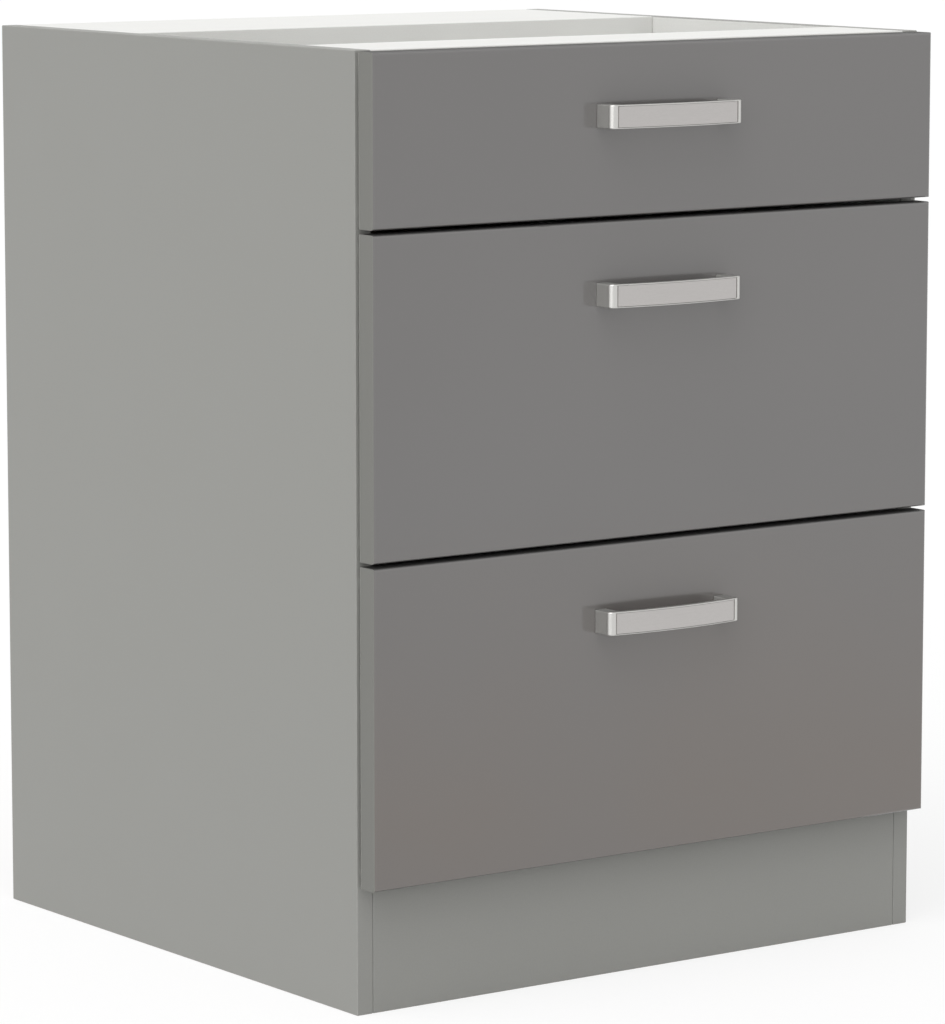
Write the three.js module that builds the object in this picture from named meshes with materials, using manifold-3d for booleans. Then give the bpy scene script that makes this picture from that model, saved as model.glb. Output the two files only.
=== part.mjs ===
// Kitchen base cabinet with three drawers on full-extension ball runners.
// Millimetres, +Z up. The front faces -Y and +X is to the right of someone who faces it.
// The pieces are placed from the front edges of the carcass (y = 0) and from the middle of its
// width (x = 0), and the finished group is moved so that the origin is the centre of its footprint.
import * as THREE from 'three';
import { mergeVertices } from 'three/addons/utils/BufferGeometryUtils.js';
import Module from 'manifold-3d';

const wasm = await Module();
wasm.setup();

// ---- Driving dimensions ----

// Carcass
const cabinetWidth = 600;
const cabinetHeight = 800;
const carcassDepth = 560; // front edges of the sides to the rear face of the back panel
const boardThickness = 16;
const boardEase = 0.6; // small chamfer on every board edge
const backThickness = 3;
const backReveal = 2; // the back panel stops this far inside the carcass outline
const plinthHeight = 110;
const frontRailDepth = 96;
const rearRailDepth = 200;
const seam = 0.3; // clearance between two pieces that touch

// Drawer fronts
const frontThickness = 19;
const frontStandoff = 3; // air gap between the carcass and the back of a front
const frontEdgeRadius = 2.5;
const sideReveal = 2;
const topReveal = 1;
const plinthOverlap = 2; // the lowest front reaches this far down over the plinth board
const gapBetweenFronts = 4;
const upperFrontHeight = 144;

// Drawer boxes
const boxBoard = 16;
const rearSpace = 104; // free space between the runners and the back panel
const boxFloorClearance = 14; // lowest box above the bottom panel
const boxTopClearance = 13; // top box below the top rails
const boxBottomThickness = 3;
const grooveRise = 10; // groove above the lower edge of the box
const grooveDepth = 6;

// Runners: three nested channels of folded steel on each side of a box
const runnerSpace = 13; // side panel to box side
const runnerHeight = 45;
const runnerSetback = 3; // front end of the runner behind the front edge of the carcass
const runnerRise = 8; // runner above the lower edge of the box
const channelWall = 1.2;
const channelBend = 3; // slanted corner where a channel is folded
const ballGap = 2.5; // room for the balls between two nested channels
const webGap = 1.5; // room between the flat webs of nested channels
const linkShortening = 10; // the middle channel is this much shorter than the others
const runnerHoleRadius = 2.5;
const runnerHoleInset = 35; // first and last screw hole from the ends of a channel
const runnerHoleCount = 3;

// Handles
const handleLength = 140;
const handleHeight = 20;
// Centre of each handle below the upper edge of its front
const upperHandleDrop = 59.5;
const middleHandleDrop = 61;
const lowerHandleDrop = 64.5;
const handleEndReach = 20; // front face to the strap at its ends
const handleBow = 6; // the strap stands out this much further in the middle
const strapThickness = 5;
const legWidth = 12;
const handleCorner = 3.5; // rounding at the two ends of the strap
const handleEase = 1.2;
const strapSteps = 14;

// Machine screws that hold the handles
const screwRadius = 2;
const screwHeadRadius = 4;
const screwHeadHeight = 2.4;
const screwBite = 10; // length of thread inside a handle leg

// Cam fittings that join the boards of the carcass
const camRadius = 7.5;
const camSkin = 4; // board left above a cam
const camSetback = 34; // centre of the cam from the end of its board
const camBoltRadius = 3;
const camBoltBite = 10; // bolt inside the side panel
const camEdgeDistance = 50; // bottom-panel fittings from the panel's long edges
const camSlotWidth = 1.6;
const camSlotDepth = 2;
const roundSteps = 16;

// ---- Sizes that follow from them ----

const halfWidth = cabinetWidth / 2;
const innerHalf = halfWidth - boardThickness;
const backFace = carcassDepth - backThickness;
const sideDepth = backFace - seam;
const bottomPanelBase = plinthHeight + seam;
const bottomPanelTop = bottomPanelBase + boardThickness;
const railBase = cabinetHeight - boardThickness;
const rearRailFront = sideDepth - rearRailDepth;
const frontFace = -frontStandoff - frontThickness;
const frontsBase = plinthHeight - plinthOverlap;
const frontsTop = cabinetHeight - topReveal;
const deepFrontHeight = (frontsTop - frontsBase - upperFrontHeight - 2 * gapBetweenFronts) / 2;
const boxRise = bottomPanelTop + boxFloorClearance - frontsBase;
const boxTopDrop = boardThickness - topReveal + boxTopClearance;
const boxHalf = innerHalf - runnerSpace;
const boxFront = -frontStandoff + seam;
const boxRear = backFace - rearSpace;
const runnerLength = boxRear - runnerSetback;
const linkHeight = runnerHeight - 2 * (channelWall + ballGap);
const drawerChannelHeight = linkHeight - 2 * (channelWall + ballGap);
const camHeight = boardThickness - camSkin;
const legCentre = (handleLength - legWidth) / 2;

// The fronts from the lowest to the highest, stacked with equal gaps.
const drawers = [
  { name: 'lower', base: frontsBase, height: deepFrontHeight, handleDrop: lowerHandleDrop },
  {
    name: 'middle',
    base: frontsBase + deepFrontHeight + gapBetweenFronts,
    height: deepFrontHeight,
    handleDrop: middleHandleDrop,
  },
  {
    name: 'upper',
    base: frontsTop - upperFrontHeight,
    height: upperFrontHeight,
    handleDrop: upperHandleDrop,
  },
];
const sides = [
  { name: 'left', sign: -1 },
  { name: 'right', sign: 1 },
];

// ---- Materials ----

const finish = (color, roughness, metalness) => ({ color, roughness, metalness });
const greyBoard = finish(0x9b9c95, 0.6, 0);
const whiteBoard = finish(0xeeeeea, 0.5, 0);
const glossGrey = finish(0x7e7c78, 0.15, 0);
const hardboard = finish(0xe6e4de, 0.6, 0);
const satinMetal = finish(0xb8b7b3, 0.3, 1);
const zincSteel = finish(0xa9acb0, 0.4, 1);
const castZinc = finish(0x8f9295, 0.5, 1);

// ---- Solids ----

// A solid that can be joined and cut, from any closed geometry.
function solidOf(geometry) {
  const bare = geometry.clone();
  bare.deleteAttribute('normal');
  bare.deleteAttribute('uv');
  const welded = mergeVertices(bare, 1e-4);
  const mesh = new wasm.Mesh({
    numProp: 3,
    vertProperties: new Float32Array(welded.attributes.position.array),
    triVerts: new Uint32Array(welded.index.array),
  });
  return new wasm.Manifold(mesh);
}

function geometryOf(solid) {
  const mesh = solid.getMesh();
  const geometry = new THREE.BufferGeometry();
  geometry.setAttribute('position', new THREE.BufferAttribute(mesh.vertProperties, 3));
  geometry.setIndex(new THREE.BufferAttribute(mesh.triVerts, 1));
  geometry.computeVertexNormals();
  return geometry;
}

function cut(geometry, tools) {
  let solid = solidOf(geometry);
  for (const tool of tools) {
    solid = solid.subtract(solidOf(tool));
  }
  return geometryOf(solid);
}

function join(first, second) {
  return geometryOf(solidOf(first).add(solidOf(second)));
}

// A plain box between two corners, each given as [x, y, z].
function block(low, high) {
  const size = high.map((value, axis) => value - low[axis]);
  const centre = high.map((value, axis) => (value + low[axis]) / 2);
  return new THREE.BoxGeometry(...size).translate(...centre);
}

// A board between two corners with every edge eased by a small chamfer.
function board(low, high) {
  const ease = boardEase;
  const [width, depth, height] = high.map((value, axis) => value - low[axis]);
  const outline = new THREE.Shape([
    new THREE.Vector2(ease, 0),
    new THREE.Vector2(width - ease, 0),
    new THREE.Vector2(width, ease),
    new THREE.Vector2(width, depth - ease),
    new THREE.Vector2(width - ease, depth),
    new THREE.Vector2(ease, depth),
    new THREE.Vector2(0, depth - ease),
    new THREE.Vector2(0, ease),
  ]);
  const geometry = new THREE.ExtrudeGeometry(outline, {
    depth: height - 2 * ease,
    bevelThickness: ease,
    bevelSize: ease,
    bevelOffset: -ease,
    bevelSegments: 1,
  });
  return geometry.translate(low[0], low[1], low[2] + ease);
}

// A round rod that starts at a point and runs along +X, +Y or +Z.
function rod(axis, radius, length, start) {
  const geometry = new THREE.CylinderGeometry(radius, radius, length, roundSteps);
  geometry.translate(0, length / 2, 0);
  if (axis === 'x') geometry.rotateZ(-Math.PI / 2);
  if (axis === 'z') geometry.rotateX(Math.PI / 2);
  return geometry.translate(...start);
}

// ---- Assembly ----

const cabinet = new THREE.Group();

function place(name, geometry, look) {
  const mesh = new THREE.Mesh(geometry, new THREE.MeshStandardMaterial(look));
  mesh.name = name;
  cabinet.add(mesh);
}

// ---- Cam fittings ----

// Every fitting joins the end of a flat board, which starts at boardBase, to a side panel.
const camFittings = [];
for (const side of sides) {
  const rearFitting = sideDepth - camEdgeDistance;
  const rearRailMiddle = rearRailFront + rearRailDepth / 2;
  camFittings.push({ panel: 'front_rail', side, y: frontRailDepth / 2, boardBase: railBase });
  camFittings.push({ panel: 'rear_rail', side, y: rearRailMiddle, boardBase: railBase });
  camFittings.push({ panel: 'bottom_front', side, y: camEdgeDistance, boardBase: bottomPanelBase });
  camFittings.push({ panel: 'bottom_rear', side, y: rearFitting, boardBase: bottomPanelBase });
}

const camX = (fitting) => fitting.side.sign * (innerHalf - seam - camSetback);
const boltZ = (fitting) => fitting.boardBase + boardThickness / 2;

// The bolt, grown by a clearance when it is used to cut its hole.
function camBolt(fitting, clearance) {
  const length = camSetback + seam + camBoltBite + clearance;
  const startX = fitting.side.sign < 0 ? camX(fitting) - length : camX(fitting);
  return rod('x', camBoltRadius + clearance, length, [startX, fitting.y, boltZ(fitting)]);
}

function camDisc(fitting, clearance) {
  const base = fitting.boardBase - clearance;
  const height = camHeight + 2 * clearance;
  return rod('z', camRadius + clearance, height, [camX(fitting), fitting.y, base]);
}

function camFitting(fitting) {
  const x = camX(fitting);
  const slot = block(
    [x - camRadius / 2, fitting.y - camSlotWidth / 2, fitting.boardBase - seam],
    [x + camRadius / 2, fitting.y + camSlotWidth / 2, fitting.boardBase + camSlotDepth],
  );
  const body = join(camDisc(fitting, 0), camBolt(fitting, 0));
  place(`${fitting.panel}_${fitting.side.name}_cam`, cut(body, [slot]), castZinc);
}

// Holes for the fittings that pass a test, such as all those of one board.
function camHoles(test) {
  const chosen = camFittings.filter(test);
  return chosen.flatMap((fitting) => [camDisc(fitting, seam), camBolt(fitting, seam)]);
}

// ---- Carcass ----

function sidePanel(side) {
  const faces = [side.sign * innerHalf, side.sign * halfWidth];
  const low = [Math.min(...faces), 0, 0];
  const high = [Math.max(...faces), sideDepth, cabinetHeight];
  const holes = camHoles((fitting) => fitting.side === side);
  place(`${side.name}_side_panel`, cut(board(low, high), holes), greyBoard);
}

// A flat board between the side panels, drilled for its own cam fittings.
function crossBoard(name, label, base, frontY, rearY, look) {
  const half = innerHalf - seam;
  const slab = board([-half, frontY, base], [half, rearY, base + boardThickness]);
  const holes = camHoles((fitting) => fitting.panel.startsWith(label));
  place(name, cut(slab, holes), look);
}

function plinthBoard() {
  const half = innerHalf - seam;
  place('plinth_board', board([-half, 0, 0], [half, boardThickness, plinthHeight]), greyBoard);
}

function backPanel() {
  const half = halfWidth - backReveal;
  const low = [-half, backFace, bottomPanelBase];
  const high = [half, carcassDepth, cabinetHeight - backReveal];
  place('back_panel', board(low, high), hardboard);
}

// ---- Runners ----

// A folded channel that runs along +Y. Its flat web is at webU and its two flanges end at
// mouthU, both measured from the inner face of the side panel towards the drawer.
function channel(side, webU, mouthU, height, frontY, length, centreZ) {
  const direction = Math.sign(mouthU - webU);
  const reach = Math.abs(mouthU - webU);
  const half = height / 2;
  const innerBend = channelBend + channelWall * Math.tan(Math.PI / 8);
  // The upper half of the section: the inside from the mouth to the web, the outside back again.
  const inside = [
    [reach, half - channelWall],
    [innerBend, half - channelWall],
    [channelWall, half - innerBend],
  ];
  const outside = [
    [0, half - channelBend],
    [channelBend, half],
    [reach, half],
  ];
  const below = ([u, z]) => [u, -z];
  const section = [
    ...inside,
    ...inside.map(below).reverse(),
    ...outside.map(below).reverse(),
    ...outside,
  ];
  const toX = (u) => side.sign * (innerHalf - webU - direction * u);
  const outline = new THREE.Shape(section.map(([u, z]) => new THREE.Vector2(toX(u), z)));
  const geometry = new THREE.ExtrudeGeometry(outline, { depth: length, bevelEnabled: false });
  geometry.rotateX(Math.PI / 2);
  return geometry.translate(0, frontY + length, centreZ);
}

// Screw holes through the web of a channel, evenly spaced along its length.
function channelHoles(side, frontY, length, centreZ) {
  const spacing = (length - 2 * runnerHoleInset) / (runnerHoleCount - 1);
  const startX = side.sign < 0 ? -innerHalf : innerHalf - runnerSpace;
  const holes = [];
  for (let index = 0; index < runnerHoleCount; index += 1) {
    const y = frontY + runnerHoleInset + index * spacing;
    holes.push(rod('x', runnerHoleRadius, runnerSpace, [startX, y, centreZ]));
  }
  return holes;
}

function runner(drawer, side) {
  const centreZ = drawer.base + boxRise + runnerRise + runnerHeight / 2;
  const holes = channelHoles(side, runnerSetback, runnerLength, centreZ);
  const label = `${drawer.name}_${side.name}`;

  const cabinetWeb = seam;
  const drawerWeb = runnerSpace - seam;
  const linkWeb = cabinetWeb + channelWall + webGap;
  const cabinetMouth = drawerWeb - channelWall - webGap;
  const linkMouth = drawerWeb - channelWall - webGap / 2;
  const drawerMouth = linkWeb + channelWall + webGap;

  const onCabinet = channel(
    side, cabinetWeb, cabinetMouth, runnerHeight, runnerSetback, runnerLength, centreZ);
  place(`${label}_cabinet_channel`, cut(onCabinet, holes), zincSteel);

  const linkLength = runnerLength - linkShortening;
  const linkFront = runnerSetback + linkShortening / 2;
  const link = channel(side, linkWeb, linkMouth, linkHeight, linkFront, linkLength, centreZ);
  place(`${label}_link_channel`, link, zincSteel);

  const onDrawer = channel(
    side, drawerWeb, drawerMouth, drawerChannelHeight, runnerSetback, runnerLength, centreZ);
  place(`${label}_drawer_channel`, cut(onDrawer, holes), zincSteel);
}

// ---- Drawer fronts and handles ----

function handleScrew(drawer, side) {
  const x = side.sign * legCentre;
  const z = drawer.base + drawer.height - drawer.handleDrop;
  const headY = -frontStandoff + seam;
  const tipY = frontFace - screwBite;
  const shank = rod('y', screwRadius, headY - tipY + seam, [x, tipY, z]);
  const head = rod('y', screwHeadRadius, screwHeadHeight, [x, headY, z]);
  place(`${drawer.name}_${side.name}_handle_screw`, join(shank, head), zincSteel);
}

// Room for the screws of one handle: right through the front, and blind in the handle's legs.
function handleScrewHoles(drawer) {
  const z = drawer.base + drawer.height - drawer.handleDrop;
  const radius = screwRadius + seam;
  const start = frontFace - screwBite - seam;
  const length = -frontStandoff - start + seam;
  return sides.map((side) => rod('y', radius, length, [side.sign * legCentre, start, z]));
}

// The front is rounded on its outer edges and square on its back.
function drawerFront(drawer) {
  const radius = frontEdgeRadius;
  const width = cabinetWidth - 2 * sideReveal;
  const outline = new THREE.Shape([
    new THREE.Vector2(-width / 2, 0),
    new THREE.Vector2(width / 2, 0),
    new THREE.Vector2(width / 2, drawer.height),
    new THREE.Vector2(-width / 2, drawer.height),
  ]);
  const slab = new THREE.ExtrudeGeometry(outline, {
    depth: frontThickness - radius,
    bevelThickness: radius,
    bevelSize: radius,
    bevelOffset: -radius,
    bevelSegments: 3,
  });
  slab.rotateX(Math.PI / 2);
  slab.translate(0, -frontStandoff, drawer.base);
  const behind = block(
    [-cabinetWidth, -frontStandoff, drawer.base - radius],
    [cabinetWidth, -frontStandoff + 2 * radius, drawer.base + drawer.height + radius],
  );
  const finished = cut(slab, [behind, ...handleScrewHoles(drawer)]);
  place(`${drawer.name}_drawer_front`, finished, glossGrey);
}

// Points along a circular bow from one x to another. The bow passes through (0, reach) and
// falls back by sag at x = +-span / 2.
function bowPoints(fromX, toX, reach, sag, span) {
  const radius = (span * span / 4 + sag * sag) / (2 * sag);
  const points = [];
  for (let step = 0; step <= strapSteps; step += 1) {
    const x = fromX + (toX - fromX) * step / strapSteps;
    points.push(new THREE.Vector2(x, reach - radius + Math.sqrt(radius * radius - x * x)));
  }
  return points;
}

// A quarter round from one point to another, bulging towards the corner between them.
function roundCorner(from, corner, to) {
  const curve = new THREE.QuadraticBezierCurve(from, corner, to);
  return curve.getPoints(4);
}

// The handle in plan: a bowed strap with a leg at each end. The leg feet stand on the front.
function handle(drawer) {
  const half = handleLength / 2;
  const reach = handleEndReach + handleBow;
  const innerHalfSpan = half - legWidth;
  const point = (x, y) => new THREE.Vector2(x, y);
  const outer = bowPoints(
    half - handleCorner, handleCorner - half, reach, handleBow, handleLength);
  const inner = bowPoints(
    -innerHalfSpan, innerHalfSpan, reach - strapThickness, handleBow, handleLength);
  const outerEnd = outer[0].y;
  const rightCorner = roundCorner(
    point(half, outerEnd - handleCorner), point(half, outerEnd), outer[0]);
  const leftCorner = roundCorner(
    outer[strapSteps], point(-half, outerEnd), point(-half, outerEnd - handleCorner));
  const outline = new THREE.Shape([
    point(innerHalfSpan, 0),
    point(half, 0),
    ...rightCorner.slice(0, -1),
    ...outer,
    ...leftCorner.slice(1),
    point(-half, 0),
    point(-innerHalfSpan, 0),
    ...inner,
  ]);
  const strap = new THREE.ExtrudeGeometry(outline, {
    depth: handleHeight - 2 * handleEase,
    bevelThickness: handleEase,
    bevelSize: handleEase,
    bevelOffset: -handleEase,
    bevelSegments: 2,
  });
  strap.translate(0, 0, handleEase - handleHeight / 2);
  strap.rotateX(Math.PI);
  const z = drawer.base + drawer.height - drawer.handleDrop;
  strap.translate(0, frontFace - seam, z);
  place(`${drawer.name}_handle`, cut(strap, handleScrewHoles(drawer)), satinMetal);
}

// ---- Drawer boxes ----

// Groove for the thin bottom, as a slab that is cut from the sides and the back of the box.
function bottomGroove(boxBase) {
  const half = boxHalf - boxBoard + grooveDepth;
  const rear = boxRear - boxBoard + grooveDepth;
  const top = grooveRise + boxBottomThickness + 2 * seam;
  return block([-half, boxFront - seam, boxBase + grooveRise], [half, rear, boxBase + top]);
}

function boxSide(drawer, side, boxBase, boxTop) {
  const faces = [side.sign * boxHalf, side.sign * (boxHalf - boxBoard)];
  const low = [Math.min(...faces), boxFront, boxBase];
  const high = [Math.max(...faces), boxRear, boxTop];
  const grooved = cut(board(low, high), [bottomGroove(boxBase)]);
  place(`${drawer.name}_box_${side.name}_side`, grooved, whiteBoard);
}

function boxBack(drawer, boxBase, boxTop) {
  const half = boxHalf - boxBoard - seam;
  const slab = board([-half, boxRear - boxBoard, boxBase], [half, boxRear, boxTop]);
  place(`${drawer.name}_box_back`, cut(slab, [bottomGroove(boxBase)]), whiteBoard);
}

function boxBottom(drawer, boxBase) {
  const half = boxHalf - boxBoard + grooveDepth - seam;
  const rear = boxRear - boxBoard + grooveDepth - seam;
  const base = boxBase + grooveRise + seam;
  const slab = board([-half, boxFront, base], [half, rear, base + boxBottomThickness]);
  place(`${drawer.name}_box_bottom`, slab, hardboard);
}

function drawerBox(drawer) {
  const boxBase = drawer.base + boxRise;
  const boxTop = drawer.base + drawer.height - boxTopDrop;
  for (const side of sides) {
    boxSide(drawer, side, boxBase, boxTop);
  }
  boxBack(drawer, boxBase, boxTop);
  boxBottom(drawer, boxBase);
}

// ---- Put together ----

for (const side of sides) {
  sidePanel(side);
}
crossBoard('bottom_panel', 'bottom', bottomPanelBase, 0, sideDepth, whiteBoard);
crossBoard('front_top_rail', 'front_rail', railBase, 0, frontRailDepth, whiteBoard);
crossBoard('rear_top_rail', 'rear_rail', railBase, rearRailFront, sideDepth, whiteBoard);
plinthBoard();
backPanel();
camFittings.forEach(camFitting);
for (const drawer of drawers) {
  drawerFront(drawer);
  handle(drawer);
  drawerBox(drawer);
  for (const side of sides) {
    handleScrew(drawer, side);
    runner(drawer, side);
  }
}

// The handles' outermost point and the back panel are the two ends of the depth.
const foremost = frontFace - seam - handleEndReach - handleBow;
cabinet.position.y = -(foremost + carcassDepth) / 2;

export default cabinet;
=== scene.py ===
# %% [markdown]
# # Kitchen base cabinet with three drawers
#
# The boards, fronts, runners and fittings are already there as solid parts. This lesson gives
# each of them the surface of the real thing, models the handles again with soft edges, and adds
# the small pieces that show when a drawer is open: balls and cages in the runners, screws,
# buffers and cam discs. Everything is in metres. The fronts face -Y, and Z is up.

# %% Load the cabinet
import math

import bmesh
import bpy
from mathutils import Matrix, Vector


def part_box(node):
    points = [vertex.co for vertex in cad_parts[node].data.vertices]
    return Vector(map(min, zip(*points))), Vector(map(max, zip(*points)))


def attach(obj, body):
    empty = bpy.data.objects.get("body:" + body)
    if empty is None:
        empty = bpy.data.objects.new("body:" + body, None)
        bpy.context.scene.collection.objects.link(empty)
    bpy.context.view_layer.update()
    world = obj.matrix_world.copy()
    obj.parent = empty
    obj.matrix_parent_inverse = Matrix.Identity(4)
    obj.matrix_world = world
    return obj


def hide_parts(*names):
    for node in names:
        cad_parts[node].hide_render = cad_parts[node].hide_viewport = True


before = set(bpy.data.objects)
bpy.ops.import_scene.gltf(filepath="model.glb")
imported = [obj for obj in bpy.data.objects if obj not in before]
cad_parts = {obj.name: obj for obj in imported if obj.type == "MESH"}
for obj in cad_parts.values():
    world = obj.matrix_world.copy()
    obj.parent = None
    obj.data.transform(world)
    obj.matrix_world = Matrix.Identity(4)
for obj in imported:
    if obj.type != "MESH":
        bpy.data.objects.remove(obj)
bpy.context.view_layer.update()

DRAWERS = ("lower", "middle", "upper")
SIDES = {"left": -1, "right": 1}
RUNNERS = [(drawer, side) for drawer in DRAWERS for side in SIDES]

# %% [markdown]
# ## Camera
#
# The picture was taken with a long lens from well to the left of the cabinet and a little above
# it. A long lens keeps the edges almost parallel, which is why the cabinet looks so square. The
# camera could be aimed with a constraint, but a heading and a tilt say the same in two numbers
# and stay where they are put. The image is 945 pixels wide and 1024 high, so the sensor's 36 mm
# belong to the height.

# %% Camera
IMAGE_HEIGHT_PX = 1024
SENSOR = 36.0
FOCAL_PX = 5046.0
CAMERA_PLACE = Vector((-2.6234, -3.6245, 1.0036))
CAMERA_HEADING = 0.62714
CAMERA_TILT = 0.14097

lens = bpy.data.cameras.new("camera")
lens.sensor_width = SENSOR
lens.lens = FOCAL_PX * SENSOR / IMAGE_HEIGHT_PX
camera = bpy.data.objects.new("camera", lens)
camera.location = CAMERA_PLACE
camera.rotation_euler = (math.pi / 2 - CAMERA_TILT, 0.0, -CAMERA_HEADING)
bpy.context.scene.collection.objects.link(camera)
bpy.context.scene.camera = camera
print(f"lens {lens.lens:.1f} mm, {CAMERA_PLACE.length:.2f} m from the cabinet")

# %% [markdown]
# ## Light
#
# A catalogue picture has soft light from everywhere, a broad source overhead and a second one
# low on the left. The sky gives the even part. The two sources are sun lamps with very wide
# discs: their rays are parallel, so a tall panel gets the same level from top to bottom, and
# their width keeps the shadows soft. The low one also draws the bright line on the rounded ends
# of the handles. Camera and mirror rays see a white sky, while the sky that lights the cabinet
# is lower, so that white boards keep their shading.

# %% Sky
SKY_LIGHT = 0.60
WHITE = (1.0, 1.0, 1.0, 1.0)

bpy.context.scene.view_settings.view_transform = "Standard"


def seen_directly(tree):
    """1 for camera, mirror and see-through rays, and 0 for rays that only carry light."""
    path = tree.nodes.new("ShaderNodeLightPath")
    value = path.outputs["Is Camera Ray"]
    for kind in ("Is Glossy Ray", "Is Transmission Ray"):
        either = tree.nodes.new("ShaderNodeMath")
        either.operation = "MAXIMUM"
        tree.links.new(value, either.inputs[0])
        tree.links.new(path.outputs[kind], either.inputs[1])
        value = either.outputs[0]
    return value


world = bpy.data.worlds.new("studio")
world.use_nodes = True
bpy.context.scene.world = world
sky = world.node_tree.nodes["Background"]
sky.inputs["Color"].default_value = WHITE
level = world.node_tree.nodes.new("ShaderNodeMapRange")
level.inputs["To Min"].default_value = SKY_LIGHT
level.inputs["To Max"].default_value = 1.0
world.node_tree.links.new(seen_directly(world.node_tree), level.inputs["Value"])
world.node_tree.links.new(level.outputs["Result"], sky.inputs["Strength"])
print(f"sky {SKY_LIGHT} for light, 1.0 for the eye")

# %% Lamps
LAMPS = {
    "overhead_lamp": (Vector((-0.40, -0.20, 0.89)), 1.25, 50),
    "low_left_lamp": (Vector((-0.86, -0.48, 0.16)), 0.80, 50),
}

for name, (towards, strength, width) in LAMPS.items():
    lamp = bpy.data.lights.new(name, "SUN")
    lamp.energy = strength
    lamp.angle = math.radians(width)
    holder = bpy.data.objects.new(name, lamp)
    holder.rotation_euler = towards.to_track_quat("Z", "Y").to_euler()
    bpy.context.scene.collection.objects.link(holder)
    print(f"{name}: {strength} from {tuple(towards)}, {width} degrees wide")

# %% [markdown]
# ## Floor
#
# The floor has to look as white as the background, and it also has to carry the cabinet's
# shadow. A plain white floor goes grey away from the lamps, so this one glows a little for the
# eye and adds the light that falls on it. Where the cabinet stands in the way, less light
# falls, and a faint shadow stays. For all other rays it is an ordinary pale floor.

# %% Floor
FLOOR_HALF = 40.0
FLOOR_GLOW = 0.74
FLOOR_CATCH = (0.27, 0.27, 0.27, 1.0)
FLOOR_PAINT = (0.78, 0.78, 0.78, 1.0)


def floor_material():
    """White with the cabinet's shadow to the eye, and plain and pale to the light."""
    material = bpy.data.materials.new("studio_floor")
    material.use_nodes = True
    tree = material.node_tree
    tree.nodes.clear()
    glow = tree.nodes.new("ShaderNodeEmission")
    glow.inputs["Strength"].default_value = FLOOR_GLOW
    catch = tree.nodes.new("ShaderNodeBsdfDiffuse")
    catch.inputs["Color"].default_value = FLOOR_CATCH
    paint = tree.nodes.new("ShaderNodeBsdfDiffuse")
    paint.inputs["Color"].default_value = FLOOR_PAINT
    seen = tree.nodes.new("ShaderNodeAddShader")
    tree.links.new(glow.outputs[0], seen.inputs[0])
    tree.links.new(catch.outputs[0], seen.inputs[1])
    choice = tree.nodes.new("ShaderNodeMixShader")
    tree.links.new(seen_directly(tree), choice.inputs[0])
    tree.links.new(paint.outputs[0], choice.inputs[1])
    tree.links.new(seen.outputs[0], choice.inputs[2])
    output = tree.nodes.new("ShaderNodeOutputMaterial")
    tree.links.new(choice.outputs[0], output.inputs["Surface"])
    return material


def new_object(name, bm, material):
    """Turns a finished bmesh into an object that shows one material."""
    mesh = bpy.data.meshes.new(name)
    bm.to_mesh(mesh)
    bm.free()
    mesh.materials.append(material)
    made = bpy.data.objects.new(name, mesh)
    bpy.context.scene.collection.objects.link(made)
    return made


floor_mesh = bmesh.new()
bmesh.ops.create_grid(floor_mesh, x_segments=1, y_segments=1, size=FLOOR_HALF)
new_object("studio_floor", floor_mesh, floor_material())
print(f"floor {2 * FLOOR_HALF:.0f} m square")

# %% [markdown]
# ## Helpers for materials
#
# A node material is a small drawing: patterns on the left, the shader on the right. A pattern
# that several finishes need is drawn once as a node group with named sockets, and placed in each
# material with its own values. The groups only put out colours and values. The shader, and the
# bump that feeds it, stay in the material. All patterns read the piece's own coordinates, so
# they stay on the board when a drawer slides out.

# %% Colour and maths helpers
AXES = "XYZ"
NOISE_SPAN = (0.3, 0.7)


def srgb(red, green, blue):
    """A colour as it is read off a screen, 0 to 255, as the linear values that a shader takes."""
    def linear(value):
        share = value / 255.0
        return share / 12.92 if share <= 0.04045 else ((share + 0.055) / 1.055) ** 2.4
    return (linear(red), linear(green), linear(blue), 1.0)


def feed(tree, socket, value):
    """Puts a value on an input, or links it there if it is an output of another node."""
    if isinstance(value, bpy.types.NodeSocket):
        tree.links.new(value, socket)
    else:
        socket.default_value = value


def calculate(tree, operation, first, *others):
    """A maths node on two values, each a number or an output. Further values follow in turn."""
    for other in others:
        node = tree.nodes.new("ShaderNodeMath")
        node.operation = operation
        feed(tree, node.inputs[0], first)
        feed(tree, node.inputs[1], other)
        first = node.outputs[0]
    return first


def spread(tree, value, low, high, from_low=0.0, from_high=1.0):
    """Stretches a value so that from_low..from_high becomes low..high, and stops at both ends."""
    node = tree.nodes.new("ShaderNodeMapRange")
    limits = {"From Min": from_low, "From Max": from_high, "To Min": low, "To Max": high}
    for name, limit in limits.items():
        node.inputs[name].default_value = limit
    tree.links.new(value, node.inputs["Value"])
    return node.outputs["Result"]


def vary(tree, value, low, high):
    """Stretches the usual span of a noise to low..high."""
    return spread(tree, value, low, high, *NOISE_SPAN)


def blend_colours(tree, share, first, second, mode="MIX"):
    """Mixes two colours by a share. Each of the three is a value or an output."""
    node = tree.nodes.new("ShaderNodeMix")
    node.data_type = "RGBA"
    node.blend_type = mode
    for socket, value in ((0, share), (6, first), (7, second)):
        feed(tree, node.inputs[socket], value)
    return node.outputs[2]


def dim_colour(tree, colour, share):
    """A colour times a share that changes over the surface."""
    grey = tree.nodes.new("ShaderNodeCombineColor")
    for channel in range(3):
        tree.links.new(share, grey.inputs[channel])
    return blend_colours(tree, 1.0, colour, grey.outputs[0], "MULTIPLY")


print("colour helpers ready")

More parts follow.
